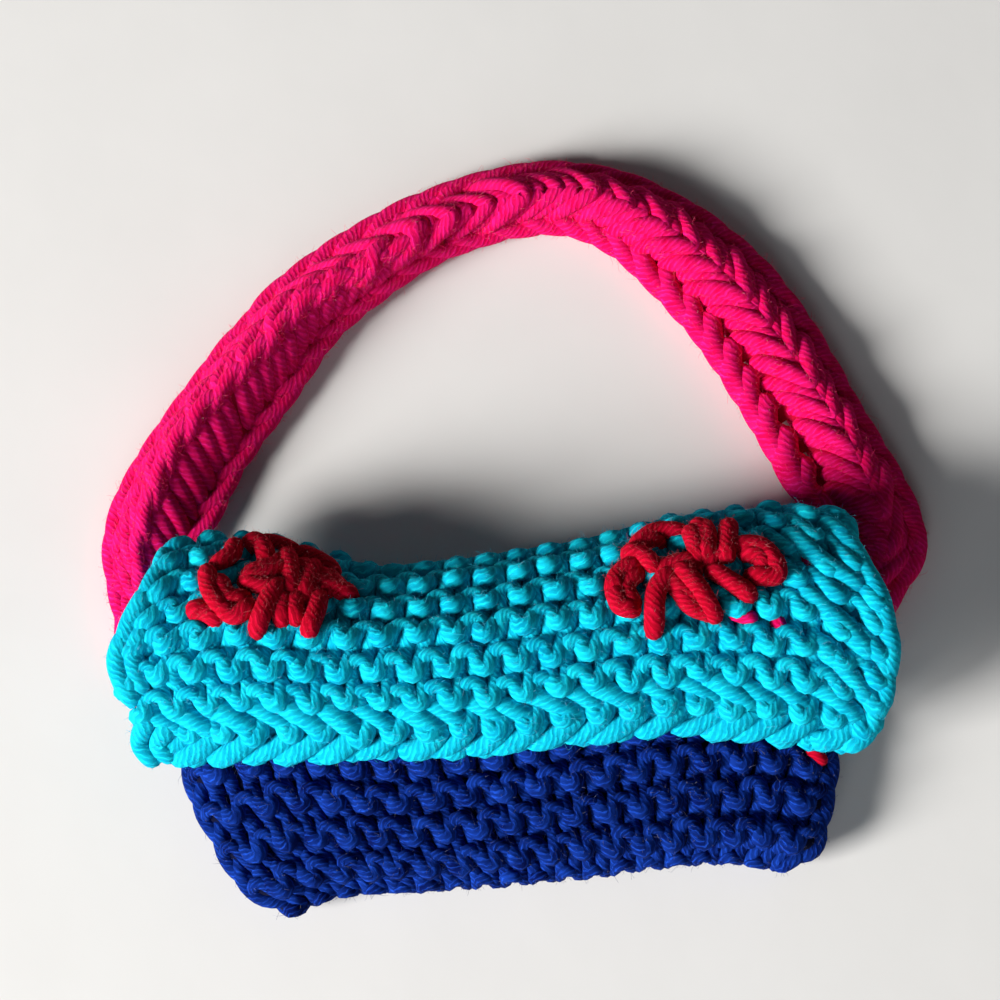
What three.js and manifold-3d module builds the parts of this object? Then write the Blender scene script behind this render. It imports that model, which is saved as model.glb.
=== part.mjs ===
import * as THREE from "three";
import { ParametricGeometry } from "three/addons/geometries/ParametricGeometry.js";
import { mergeGeometries, mergeVertices } from "three/addons/utils/BufferGeometryUtils.js";
import Module from "manifold-3d";

// A small knitted purse lying on its back. Millimetres, +Z up, +Y from the pouch's bottom to its mouth.
// The origin is on the flat back of the pouch, which rests at z = 0.

// Knitted cloth: a wall that zigzags in ribs, one rib for every two rows of stitches
const KNIT_WALL = 3.2;
const RIB_RISE = 0.55;
const RIB_STEPS = 4;
const PIECE_GAP = 0.3;
const RIM_STEPS = [0, 0.12, 0.45, 1];
const WELD_DISTANCE = 1e-4;
const SMOOTH_STEP = 1e-2;
const CREASE_STEP = 5e-2;

// Pouch: plan outline by share of the way from mouth to bottom, then across the bottom
const POUCH_SIDES = [
  { down: 0.0, left: -43.8, right: 43.8, crown: 13.0 },
  { down: 0.35, left: -44.2, right: 44.2, crown: 11.6 },
  { down: 0.5, left: -43.6, right: 44.6, crown: 10.6 },
  { down: 0.62, left: -42.3, right: 44.4, crown: 10.0 },
  { down: 0.74, left: -39.8, right: 43.6, crown: 9.4 },
  { down: 0.86, left: -37.4, right: 42.8, crown: 8.8 },
  { down: 0.96, left: -34.0, right: 41.6, crown: 8.0 },
  { down: 1.0, left: -30.9, right: 39.2, crown: 7.6 },
];
const POUCH_BOTTOM = [
  { across: -1.0, y: -26.4 },
  { across: -0.8, y: -23.6 },
  { across: -0.5, y: -22.6 },
  { across: 0.0, y: -21.2 },
  { across: 0.5, y: -19.3 },
  { across: 0.75, y: -18.9 },
  { across: 1.0, y: -20.3 },
];
const POUCH_RIBS = 8;
const POUCH_RIM = { side: 0.04, bottom: 0.09 };
const POUCH_STEPS = { across: 11, along: POUCH_RIBS * RIB_STEPS };
const MOUTH_BEHIND_FOLD = 9.5;
const SEAM_HEIGHT = 6.8;
const SEAM_LEVEL = 3.4;
const EDGE_ROUND = 3.4;
const CROWN_POWER = 3;
const CAVITY_FLOOR = 3.0;
const CAVITY_INSET = 4.0;
const CAVITY_LEAST = 0.8;
const MOUTH_OVERSHOOT = 6;
const CAVITY_STEPS = { across: 10, along: 8 };

// Flap: the fold and the lower edge across the purse, the side edges and the path over the top
const FLAP_ENDS = [
  { across: -1.0, fold: 20.4, edge: -6.3 },
  { across: -0.82, fold: 21.9, edge: -6.4 },
  { across: -0.66, fold: 21.4, edge: -6.2 },
  { across: -0.5, fold: 19.3, edge: -6.0 },
  { across: -0.36, fold: 17.8, edge: -5.8 },
  { across: -0.2, fold: 18.4, edge: -5.6 },
  { across: 0.0, fold: 19.6, edge: -5.0 },
  { across: 0.25, fold: 21.5, edge: -3.6 },
  { across: 0.5, fold: 24.3, edge: -3.0 },
  { across: 0.85, fold: 25.8, edge: -4.4 },
  { across: 1.0, fold: 24.7, edge: -4.8 },
];
const FLAP_SIDES = [
  { up: 0.0, left: -47.8, right: 46.0 },
  { up: 0.1, left: -47.6, right: 48.9 },
  { up: 0.2, left: -50.0, right: 49.8 },
  { up: 0.3, left: -51.6, right: 50.0 },
  { up: 0.42, left: -49.6, right: 49.6 },
  { up: 0.56, left: -47.4, right: 46.6 },
  { up: 0.75, left: -45.5, right: 45.0 },
  { up: 1.0, left: -43.6, right: 43.6 },
];
// Path over the top: heights on the left and on the right, and how far the very ends lift
const FLAP_PATH = [
  { name: "lower edge", behindFold: 30.0, left: 13.1, right: 13.1, leftLift: -3.6, rightLift: -2.6 },
  { name: "lower slope", behindFold: 26.0, left: 15.2, right: 15.0, leftLift: -4.2, rightLift: -2.4 },
  { name: "front", behindFold: 20.0, left: 17.3, right: 17.0, leftLift: -4.4, rightLift: -1.8 },
  { name: "crest", behindFold: 12.0, left: 18.0, right: 18.2, leftLift: -3.6, rightLift: -1.2 },
  { name: "shoulder", behindFold: 6.0, left: 14.2, right: 17.6, leftLift: 0.8, rightLift: -1.0 },
  { name: "upper fold", behindFold: 1.5, left: 10.2, right: 14.4, leftLift: 3.1, rightLift: -0.4 },
  { name: "fold", behindFold: 0.0, left: 7.4, right: 9.6, leftLift: 3.8, rightLift: 1.8 },
  { name: "lower fold", behindFold: 1.2, left: 4.6, right: 4.8, leftLift: 5.2, rightLift: 5.0 },
  { name: "back", behindFold: 4.6, left: 2.4, right: 2.4, leftLift: 6.7, rightLift: 6.7 },
  { name: "seam to back", behindFold: 8.9, left: 2.3, right: 2.3, leftLift: 6.6, rightLift: 6.6 },
];
const FLAP_NOMINAL_COVER = 30;
const FLAP_RIBS = 11;
const FLAP_RIB_PHASE = 0.25;
const FLAP_RIM = { side: 0.018, end: 0.032 };
const FLAP_STEPS = { across: 12, along: FLAP_RIBS * RIB_STEPS };
const SIDE_DROOP_POWER = 4;

// Strap: a creased band laid as an arch, its ends beside the pouch under the flap
const STRAP_WALL = 2.8;
const STRAP_REST = 0.65;
const STRAP_CREASE_POWER = 1.3;
const STRAP_RIM = { side: 0.16, end: 0.006 };
const STRAP_SECTIONS = [
  { x: -47.8, y: 8.5, width: 5.6, crest: 0.5, rise: 1.6 },
  { x: -48.6, y: 13.0, width: 7.4, crest: 0.5, rise: 2.0 },
  { x: -49.0, y: 17.5, width: 9.4, crest: 0.45, rise: 2.4 },
  { x: -48.4, y: 22.6, width: 12.6, crest: 0.38, rise: 4.2 },
  { x: -45.9, y: 28.8, width: 13.8, crest: 0.33, rise: 6.2 },
  { x: -40.9, y: 37.9, width: 12.6, crest: 0.3, rise: 7.2 },
  { x: -34.4, y: 47.3, width: 12.4, crest: 0.42, rise: 7.2 },
  { x: -27.7, y: 56.2, width: 10.8, crest: 0.52, rise: 7.0 },
  { x: -20.4, y: 62.3, width: 10.0, crest: 0.68, rise: 6.8 },
  { x: -12.9, y: 67.2, width: 8.8, crest: 0.74, rise: 6.6 },
  { x: -5.2, y: 70.4, width: 8.8, crest: 0.7, rise: 6.6 },
  { x: 2.0, y: 72.2, width: 8.8, crest: 0.62, rise: 6.6 },
  { x: 9.4, y: 72.3, width: 8.8, crest: 0.55, rise: 6.4 },
  { x: 16.2, y: 70.0, width: 10.8, crest: 0.48, rise: 5.8 },
  { x: 22.9, y: 65.5, width: 13.2, crest: 0.44, rise: 5.0 },
  { x: 29.1, y: 59.7, width: 14.6, crest: 0.42, rise: 4.4 },
  { x: 34.2, y: 53.1, width: 15.0, crest: 0.4, rise: 4.2 },
  { x: 38.9, y: 45.0, width: 14.8, crest: 0.34, rise: 4.4 },
  { x: 43.3, y: 37.0, width: 14.4, crest: 0.3, rise: 4.6 },
  { x: 47.5, y: 29.6, width: 14.6, crest: 0.36, rise: 4.0 },
  { x: 50.1, y: 23.6, width: 13.8, crest: 0.4, rise: 3.2 },
  { x: 48.9, y: 18.0, width: 9.0, crest: 0.45, rise: 2.4 },
  { x: 48.0, y: 13.5, width: 6.0, crest: 0.5, rise: 2.0 },
  { x: 47.3, y: 9.0, width: 4.8, crest: 0.5, rise: 1.6 },
];
const STRAP_STEPS = { across: 6, along: 42 };

// Flowers: red yarn stitches, each bent through three places given in millimetres
// across the flap and up along its cloth from the flower's centre
const STITCH_YARN = 2.3;
const STITCH_SIDES = 5;
const STITCH_STEPS = 3;
const FLOWERS = {
  flower_left: {
    across: -29.9,
    up: 21.6,
    stitches: [
      { from: [-8.7, 3.7], by: [-7.9, 0.2], to: [-6.0, -2.6] },
      { from: [-6.3, -2.2], by: [-4.5, -3.3], to: [-2.3, -2.0] },
      { from: [-5.7, 7.6], by: [-5.9, 5.8], to: [-7.9, 3.7] },
      { from: [-10.1, -1.5], by: [-8.4, -2.2], to: [-6.6, -3.6] },
      { from: [-4.0, 7.8], by: [-2.5, 7.1], to: [-1.2, 4.1] },
      { from: [-2.8, 7.8], by: [-0.2, 7.6], to: [2.3, 6.5] },
      { from: [1.8, 6.8], by: [4.6, 6.0], to: [7.4, 4.2] },
      { from: [3.9, 2.1], by: [6.8, 1.3], to: [10.1, 0.5] },
      { from: [0.7, 1.1], by: [-0.6, -1.9], to: [-1.8, -5.2] },
      { from: [1.3, -0.8], by: [1.3, -2.2], to: [1.3, -3.9] },
      { from: [2.7, -0.8], by: [2.8, -2.2], to: [3.0, -3.6] },
      { from: [5.8, 0.2], by: [5.4, -2.8], to: [4.7, -5.3] },
      { from: [-4.0, 1.6], by: [-1.5, 2.2], to: [1.8, 4.2] },
      { from: [0.6, 6.5], by: [1.8, 2.5], to: [2.0, -0.8] },
      { from: [4.5, 5.1], by: [4.1, 1.7], to: [3.8, -1.1] },
      { from: [-4.0, 1.6], by: [-1.8, 0.5], to: [1.0, 0.5] },
      { from: [5.3, 3.9], by: [6.6, 1.9], to: [6.0, -0.2] },
    ],
  },
  flower_right: {
    across: 23.0,
    up: 20.8,
    stitches: [
      { from: [-5.9, 1.2], by: [-8.8, -0.3], to: [-9.4, -2.2] },
      { from: [-9.4, -1.7], by: [-8.8, -3.8], to: [-7.0, -4.4] },
      { from: [-7.3, 2.5], by: [-5.5, 1.5], to: [-3.8, -0.3] },
      { from: [-6.6, 3.0], by: [-3.6, 5.0], to: [0.6, 4.4] },
      { from: [0.6, 4.5], by: [1.2, 2.0], to: [1.4, 0.4] },
      { from: [2.5, 5.3], by: [2.9, 2.4], to: [1.9, 0.7] },
      { from: [5.7, 5.3], by: [5.2, 2.7], to: [4.8, 0.4] },
      { from: [6.0, 2.4], by: [9.1, 2.3], to: [11.0, 0.9] },
      { from: [10.7, 1.3], by: [11.0, -0.8], to: [7.6, -1.2] },
      { from: [2.7, -0.7], by: [5.2, -2.1], to: [7.8, -3.5] },
      { from: [-1.4, -0.3], by: [0.9, -2.7], to: [3.3, -6.1] },
      { from: [-1.9, -2.4], by: [0.2, -4.7], to: [2.9, -5.7] },
      { from: [-1.9, -0.5], by: [-4.1, -2.8], to: [-4.7, -7.6] },
      { from: [-4.2, -0.4], by: [-1.6, 0.2], to: [1.4, 0.5] },
      { from: [2.4, 0.0], by: [3.6, 0.9], to: [5.0, 1.0] },
    ],
  },
};

const COLOURS = { navy: 0x14267d, turquoise: 0x0fb4c6, cerise: 0xe0115f, red: 0xb00714 };
const YARN_ROUGHNESS = 0.85;

const wasm = await Module();
wasm.setup();

// Smooth value of one column of a table at a place along its key column
function follow(table, key, column, at) {
  const last = table.length - 1;
  const b = Math.max(1, table.findIndex((row, i) => i === last || at <= row[key]));
  const a = b - 1;
  const slope = (i) => {
    const low = table[Math.max(0, i - 1)];
    const high = table[Math.min(last, i + 1)];
    return (high[column] - low[column]) / (high[key] - low[key]);
  };
  const span = table[b][key] - table[a][key];
  const t = THREE.MathUtils.clamp((at - table[a][key]) / span, 0, 1);
  const rise = t * t * (3 - 2 * t);
  const value = table[a][column] * (1 - rise) + table[b][column] * rise;
  return value + span * t * (1 - t) * ((1 - t) * slope(a) - t * slope(b));
}

// Places from 0 to 1: even steps, with closer ones at the ends that are rounded
function places(count, startRim, endRim) {
  const even = Array.from({ length: count - 1 }, (_, i) => (i + 1) / count);
  const middle = even.map((t) => THREE.MathUtils.lerp(startRim, 1 - endRim, t));
  const start = startRim > 0 ? RIM_STEPS.map((r) => r * startRim) : [0];
  const end = endRim > 0 ? RIM_STEPS.map((r) => 1 - r * endRim).reverse() : [1];
  return [...start, ...middle, ...end];
}

// Share of the full thickness at a distance from a rounded edge
function roundOff(distance, radius) {
  const inside = THREE.MathUtils.clamp(distance / radius, 0, 1);
  return Math.sqrt(1 - (1 - inside) ** 2);
}

// Height of the ribs at a place between two rims
function ribAt(share, ribs, startRim, endRim, phase) {
  const between = (share - startRim) / (1 - startRim - endRim);
  return RIB_RISE * Math.cos(2 * Math.PI * (ribs * between + phase));
}

// Closed geometry: triangles that share vertices, with those that have no width dropped
function closed(geometries) {
  for (const g of geometries) {
    g.deleteAttribute("normal");
    g.deleteAttribute("uv");
  }
  const merged = mergeVertices(mergeGeometries(geometries), WELD_DISTANCE);
  const kept = [];
  const index = merged.index.array;
  for (let i = 0; i < index.length; i += 3) {
    const [a, b, c] = index.subarray(i, i + 3);
    if (a !== b && b !== c && c !== a) kept.push(a, b, c);
  }
  merged.setIndex(kept);
  return merged;
}

// A wall between two surfaces over the same places, with the strips that join their rims
function wall(front, back, us, vs) {
  const at = (list, share) => list[Math.round(share * (list.length - 1))];
  const grid = (point, flip) =>
    new ParametricGeometry(
      (u, v, target) => target.copy(point(at(us, flip ? 1 - u : u), at(vs, v))),
      us.length - 1,
      vs.length - 1,
    );
  const strip = (place, list) =>
    new ParametricGeometry(
      (p, q, target) => target.copy((q > 0.5 ? front : back)(...place(at(list, p)))),
      list.length - 1,
      1,
    );
  const backwards = (list) => [...list].reverse();
  return closed([
    grid(front, false),
    grid(back, true),
    strip((u) => [u, vs[0]], us),
    strip((v) => [us[us.length - 1], v], vs),
    strip((u) => [u, vs[vs.length - 1]], backwards(us)),
    strip((v) => [us[0], v], backwards(vs)),
  ]);
}

// Unit normal of a surface over u and v from 0 to 1
function normalOf(surface, u, v, step) {
  const across = surface(Math.min(1, u + step), v).sub(surface(Math.max(0, u - step), v));
  const along = surface(u, Math.min(1, v + step)).sub(surface(u, Math.max(0, v - step)));
  return across.cross(along).normalize();
}

// A sheet along a middle surface, as thick as its wall in the given direction and rounded off at its rim
function sheet(middle, direction, wallSize, width, length, us, vs) {
  const radius = wallSize / 2;
  const half = (u, v) => {
    const fromSide = Math.min(u, 1 - u) * width;
    const fromEnd = Math.min(v, 1 - v) * length;
    return radius * roundOff(fromSide, radius) * roundOff(fromEnd, radius);
  };
  const side = (sign) => (u, v) =>
    middle(u, v).addScaledVector(direction(u, v), sign * half(u, v));
  return wall(side(1), side(-1), us, vs);
}

function solid(geometry) {
  const vertProperties = new Float32Array(geometry.attributes.position.array);
  const triVerts = new Uint32Array(geometry.index.array);
  return new wasm.Manifold(new wasm.Mesh({ numProp: 3, vertProperties, triVerts }));
}

function geometryOf(manifold) {
  const mesh = manifold.getMesh();
  const geometry = new THREE.BufferGeometry();
  geometry.setAttribute("position", new THREE.BufferAttribute(mesh.vertProperties, 3));
  geometry.setIndex(new THREE.BufferAttribute(mesh.triVerts, 1));
  return geometry;
}

// Pouch: a pillow with a flat back and a ribbed front, hollowed from its mouth
function pouchPlace(u, v, inset) {
  const across = 2 * u - 1;
  const down = 1 - v;
  const left = follow(POUCH_SIDES, "down", "left", down) + inset;
  const right = follow(POUCH_SIDES, "down", "right", down) - inset;
  const mouth = follow(FLAP_ENDS, "across", "fold", across) - MOUTH_BEHIND_FOLD;
  const bottom = follow(POUCH_BOTTOM, "across", "y", across) + inset;
  const crown = follow(POUCH_SIDES, "down", "crown", down);
  const bulge = 1 - Math.abs(across) ** CROWN_POWER;
  const fromSide = Math.min(u, 1 - u) * (right - left);
  const fromBottom = v * (mouth - bottom);
  return {
    x: THREE.MathUtils.lerp(left, right, u),
    y: THREE.MathUtils.lerp(mouth, bottom, down),
    top: SEAM_HEIGHT + (crown - SEAM_HEIGHT) * bulge,
    open: roundOff(fromSide, EDGE_ROUND) * roundOff(fromBottom, EDGE_ROUND),
  };
}

function pouchOutside() {
  const front = (u, v) => {
    const p = pouchPlace(u, v, 0);
    const top = p.top + ribAt(v, POUCH_RIBS, POUCH_RIM.bottom, 0, 0);
    return new THREE.Vector3(p.x, p.y, SEAM_LEVEL + (top - SEAM_LEVEL) * p.open);
  };
  const back = (u, v) => {
    const p = pouchPlace(u, v, 0);
    return new THREE.Vector3(p.x, p.y, SEAM_LEVEL * (1 - p.open));
  };
  const us = places(POUCH_STEPS.across, POUCH_RIM.side, POUCH_RIM.side);
  const vs = places(POUCH_STEPS.along, POUCH_RIM.bottom, 0);
  return wall(front, back, us, vs);
}

function pouchInside() {
  const surface = (isTop) => (u, v) => {
    const p = pouchPlace(u, v, CAVITY_INSET);
    const room = Math.max(CAVITY_LEAST, p.top - KNIT_WALL - CAVITY_FLOOR);
    const past = v === 1 ? MOUTH_OVERSHOOT : 0;
    return new THREE.Vector3(p.x, p.y + past, CAVITY_FLOOR + (isTop ? room * p.open : 0));
  };
  const us = places(CAVITY_STEPS.across, POUCH_RIM.side, POUCH_RIM.side);
  const vs = places(CAVITY_STEPS.along, POUCH_RIM.bottom, 0);
  return wall(surface(true), surface(false), us, vs);
}

function pouch() {
  return geometryOf(solid(pouchOutside()).subtract(solid(pouchInside())));
}

// Flap: from the lower edge up over the crest, round the fold and down to the back
const flapPaths = new Map();
function flapPath(u) {
  if (!flapPaths.has(u)) {
    const across = 2 * u - 1;
    const fold = follow(FLAP_ENDS, "across", "fold", across);
    const cover = fold - follow(FLAP_ENDS, "across", "edge", across);
    const droop = Math.abs(across) ** SIDE_DROOP_POWER;
    const foldRow = FLAP_PATH.findIndex((row) => row.name === "fold");
    const points = FLAP_PATH.map((row, i) => {
      const scale = i < foldRow ? cover / FLAP_NOMINAL_COVER : 1;
      const lift = across < 0 ? row.leftLift : row.rightLift;
      const height = THREE.MathUtils.lerp(row.left, row.right, u) + lift * droop;
      return new THREE.Vector3(0, fold - row.behindFold * scale, height);
    });
    flapPaths.set(u, new THREE.CatmullRomCurve3(points));
  }
  return flapPaths.get(u);
}

const flapLength = flapPath(0.5).getLength();

function flapSmooth(u, v) {
  const point = flapPath(u).getPointAt(v);
  const left = follow(FLAP_SIDES, "up", "left", v);
  const right = follow(FLAP_SIDES, "up", "right", v);
  point.x = THREE.MathUtils.lerp(left, right, u);
  return point;
}

function flapOutward(u, v) {
  return normalOf(flapSmooth, u, v, SMOOTH_STEP);
}

function flapRaised(u, v, height) {
  return flapSmooth(u, v).addScaledVector(flapOutward(u, v), height);
}

function flap() {
  const { side, end } = FLAP_RIM;
  const middle = (u, v) => flapRaised(u, v, ribAt(v, FLAP_RIBS, end, end, FLAP_RIB_PHASE));
  const width = FLAP_SIDES[0].right - FLAP_SIDES[0].left;
  const us = places(FLAP_STEPS.across, side, side);
  const vs = places(FLAP_STEPS.along, end, end);
  return sheet(middle, flapOutward, KNIT_WALL, width, flapLength, us, vs);
}

// Strap: the section leans over a crest line that wanders from one edge towards the other
function strap() {
  const columns = (a, b, c) => new THREE.CatmullRomCurve3(
    STRAP_SECTIONS.map((row) => new THREE.Vector3(row[a], row[b], c ? row[c] : 0)),
  );
  const line = columns("x", "y");
  const shape = columns("width", "crest", "rise");
  const middle = (u, v) => {
    const centre = line.getPoint(v);
    const ahead = line.getTangent(v);
    const { x: width, y: crest, z: rise } = shape.getPoint(v);
    const lean = u < crest ? 1 - u / crest : (u - crest) / (1 - crest);
    const towardsInner = new THREE.Vector3(ahead.y, -ahead.x, 0);
    const point = centre.addScaledVector(towardsInner, (u - 0.5) * width);
    point.z = STRAP_REST + rise * (1 - lean ** STRAP_CREASE_POWER);
    return point;
  };
  const upright = new THREE.Vector3(0, 0, 1);
  const upward = (u, v) => normalOf(middle, u, v, CREASE_STEP).add(upright).normalize();
  const endWidth = STRAP_SECTIONS[0].width;
  const us = places(STRAP_STEPS.across, STRAP_RIM.side, STRAP_RIM.side);
  const vs = places(STRAP_STEPS.along, STRAP_RIM.end, STRAP_RIM.end);
  return sheet(middle, upward, STRAP_WALL, endWidth, line.getLength(), us, vs);
}

// Flowers: each stitch is a short bent tube lying on the ribs, and stitches that meet are joined
function flower({ across, up, stitches }) {
  const seat = KNIT_WALL / 2 + RIB_RISE + PIECE_GAP + STITCH_YARN / 2;
  const onFlap = ([sideways, upwards]) => {
    const v = (up + upwards) / flapLength;
    const left = follow(FLAP_SIDES, "up", "left", v);
    const right = follow(FLAP_SIDES, "up", "right", v);
    return flapRaised((across + sideways - left) / (right - left), v, seat);
  };
  const section = new THREE.Shape(
    Array.from({ length: STITCH_SIDES }, (_, i) => {
      const turn = (2 * Math.PI * i) / STITCH_SIDES;
      return new THREE.Vector2(Math.cos(turn), Math.sin(turn)).multiplyScalar(STITCH_YARN / 2);
    }),
  );
  const tubes = stitches.map(({ from, by, to }) => {
    const extrudePath = new THREE.CatmullRomCurve3([from, by, to].map(onFlap));
    const options = { steps: STITCH_STEPS, bevelEnabled: false, extrudePath };
    return solid(closed([new THREE.ExtrudeGeometry(section, options)]));
  });
  return geometryOf(tubes.reduce((whole, tube) => whole.add(tube)));
}

function piece(name, geometry, colour) {
  const material = new THREE.MeshStandardMaterial({
    color: colour,
    roughness: YARN_ROUGHNESS,
    metalness: 0,
  });
  const mesh = new THREE.Mesh(geometry, material);
  mesh.name = name;
  return mesh;
}

const purse = new THREE.Group();
purse.add(piece("pouch", pouch(), COLOURS.navy));
purse.add(piece("flap", flap(), COLOURS.turquoise));
purse.add(piece("strap", strap(), COLOURS.cerise));
for (const [name, layout] of Object.entries(FLOWERS)) {
  purse.add(piece(name, flower(layout), COLOURS.red));
}

export default purse;
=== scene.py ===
import math
import bpy
import numpy as np
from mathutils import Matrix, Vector


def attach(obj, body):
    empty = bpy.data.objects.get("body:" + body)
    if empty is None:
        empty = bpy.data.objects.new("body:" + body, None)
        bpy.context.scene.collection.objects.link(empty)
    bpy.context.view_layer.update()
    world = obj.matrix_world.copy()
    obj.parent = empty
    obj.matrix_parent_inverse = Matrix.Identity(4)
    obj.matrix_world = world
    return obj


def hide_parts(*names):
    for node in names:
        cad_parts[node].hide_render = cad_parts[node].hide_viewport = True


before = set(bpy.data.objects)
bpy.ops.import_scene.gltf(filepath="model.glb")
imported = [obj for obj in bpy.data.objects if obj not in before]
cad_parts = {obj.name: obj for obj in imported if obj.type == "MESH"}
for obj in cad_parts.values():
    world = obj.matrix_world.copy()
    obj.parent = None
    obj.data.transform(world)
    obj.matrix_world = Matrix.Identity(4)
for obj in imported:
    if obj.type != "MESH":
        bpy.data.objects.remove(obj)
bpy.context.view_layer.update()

# A small knitted purse lying on its back, made of yarn. Sizes are in millimetres, and only the floor and
# the lamps are in metres.
mm = 0.001
chance = np.random.default_rng(23)


def columns(names, lines):  # a small table with named columns
    return dict(zip(names.split(), np.array(lines, float).T))


def follow(table, key, column, at):  # smooth value of a column at places along the key column
    keys, values = table[key], table[column]
    last = len(keys) - 1
    at = np.asarray(at, float)
    b = np.clip(np.searchsorted(keys, at), 1, last)
    a = b - 1
    row = np.arange(last + 1)
    low, high = np.maximum(row - 1, 0), np.minimum(row + 1, last)
    slope = (values[high] - values[low]) / (keys[high] - keys[low])
    span = keys[b] - keys[a]
    t = np.clip((at - keys[a]) / span, 0, 1)
    rise = t * t * (3 - 2 * t)
    value = values[a] * (1 - rise) + values[b] * rise
    return value + span * t * (1 - t) * ((1 - t) * slope[a] - t * slope[b])


def smoothLine(points, t):  # a rounded line through all points, t from 0 to 1
    p = np.asarray(points, float)
    t = np.asarray(t, float) * (len(p) - 1)
    k = np.minimum(t.astype(int), len(p) - 2)
    w = (t - k)[:, None]
    run = np.vstack([2 * p[0] - p[1], p, 2 * p[-1] - p[-2]])
    p0, p1, p2, p3 = run[k], run[k + 1], run[k + 2], run[k + 3]

    def gap(a, b):
        return np.maximum(np.linalg.norm(a - b, axis=1) ** 0.5, 1e-4)[:, None]

    d0, d1, d2 = gap(p0, p1), gap(p1, p2), gap(p2, p3)
    m1 = ((p1 - p0) / d0 - (p2 - p0) / (d0 + d1) + (p2 - p1) / d1) * d1
    m2 = ((p2 - p1) / d1 - (p3 - p1) / (d1 + d2) + (p3 - p2) / d2) * d1
    return p1 + m1 * w + (3 * (p2 - p1) - 2 * m1 - m2) * w**2 + (2 * (p1 - p2) + m1 + m2) * w**3


def lengthAlong(points):
    return np.concatenate([[0], np.cumsum(np.linalg.norm(np.diff(points, axis=0), axis=1))])


def evenly(points, share):  # the same line at even steps of its own length
    along = lengthAlong(points)
    return np.stack([np.interp(share * along[-1], along, points[:, c]) for c in range(3)], axis=1)


def roundOff(distance, radius):  # share of the full height near a rounded edge
    inside = np.clip(distance / radius, 0, 1)
    return np.sqrt(1 - (1 - inside) ** 2)


def clothFrom(place, outside=1):  # a cloth's middle surface as a fine grid, with its outward side
    normal = outside * np.cross(np.gradient(place, axis=0), np.gradient(place, axis=1))
    normal /= np.maximum(np.linalg.norm(normal, axis=2, keepdims=True), 1e-9)
    return {"place": place, "normal": normal}


def middleLine(cloth):
    return cloth["place"][len(cloth["place"]) // 2]


def onCloth(cloth, u, v, height):  # points over the cloth; past an edge it runs straight on
    grid = cloth["place"]
    nu, nv = grid.shape[0] - 1, grid.shape[1] - 1
    a, b = np.clip(u, 0, 1) * nu, np.clip(v, 0, 1) * nv
    i, j = np.minimum(a.astype(int), nu - 1), np.minimum(b.astype(int), nv - 1)
    s, t = (a - i)[:, None], (b - j)[:, None]

    def blend(g):
        near = g[i, j] * (1 - t) + g[i, j + 1] * t
        return near * (1 - s) + (g[i + 1, j] * (1 - t) + g[i + 1, j + 1] * t) * s

    place, normal = blend(grid), blend(cloth["normal"])
    normal /= np.linalg.norm(normal, axis=1, keepdims=True)
    place += (u - np.clip(u, 0, 1))[:, None] * nu * (grid[i + 1, j] - grid[i, j])
    place += (v - np.clip(v, 0, 1))[:, None] * nv * (grid[i, j + 1] - grid[i, j])
    return place + normal * np.asarray(height)[:, None], normal


def strand(cloth, u, v, height, radius, taper=0):  # one piece of yarn laid on a cloth
    points, normal = onCloth(cloth, u, v, height)
    thick = radius * np.ones(len(points))
    knots = np.arange(0, len(points) + 9, 9)
    thick *= 1 + 0.05 * np.interp(np.arange(len(points)), knots, chance.standard_normal(len(knots)))
    for k in range(taper):
        share = math.sqrt(1 - (1 - (k + 0.35) / (taper + 0.35)) ** 2)
        thick[k] *= share
        thick[-1 - k] *= share
    return {"points": points, "thick": thick, "out": normal * np.sign(height)[:, None]}


def ringFrames(points):  # directions across a strand that turn as little as they can
    ahead = np.gradient(points, axis=0)
    ahead /= np.maximum(np.linalg.norm(ahead, axis=1, keepdims=True), 1e-9)
    side = np.zeros_like(points)
    start = np.cross(ahead[0], (0.3, 0.5, 0.81))
    side[0] = start / np.linalg.norm(start)
    for k in range(1, len(points)):
        s = side[k - 1] - ahead[k] * side[k - 1].dot(ahead[k])
        side[k] = s / math.sqrt(s.dot(s))
    return ahead, side, np.cross(ahead, side)


def addPiece(name, points, faces, finish, maps=()):
    mesh = bpy.data.meshes.new(name)
    mesh.from_pydata((points * mm).tolist(), [], faces)
    for label, places in maps:
        layer = mesh.uv_layers.new(name=label)
        layer.data.foreach_set("uv", np.asarray(places, np.float32).ravel())
    mesh.polygons.foreach_set("use_smooth", np.ones(len(mesh.polygons), bool))
    mesh.materials.append(finish)
    piece = bpy.data.objects.new(name, mesh)
    bpy.context.scene.collection.objects.link(piece)
    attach(piece, "root")
    print(name, sum(len(f) - 2 for f in faces), "triangles")
    return piece


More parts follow.
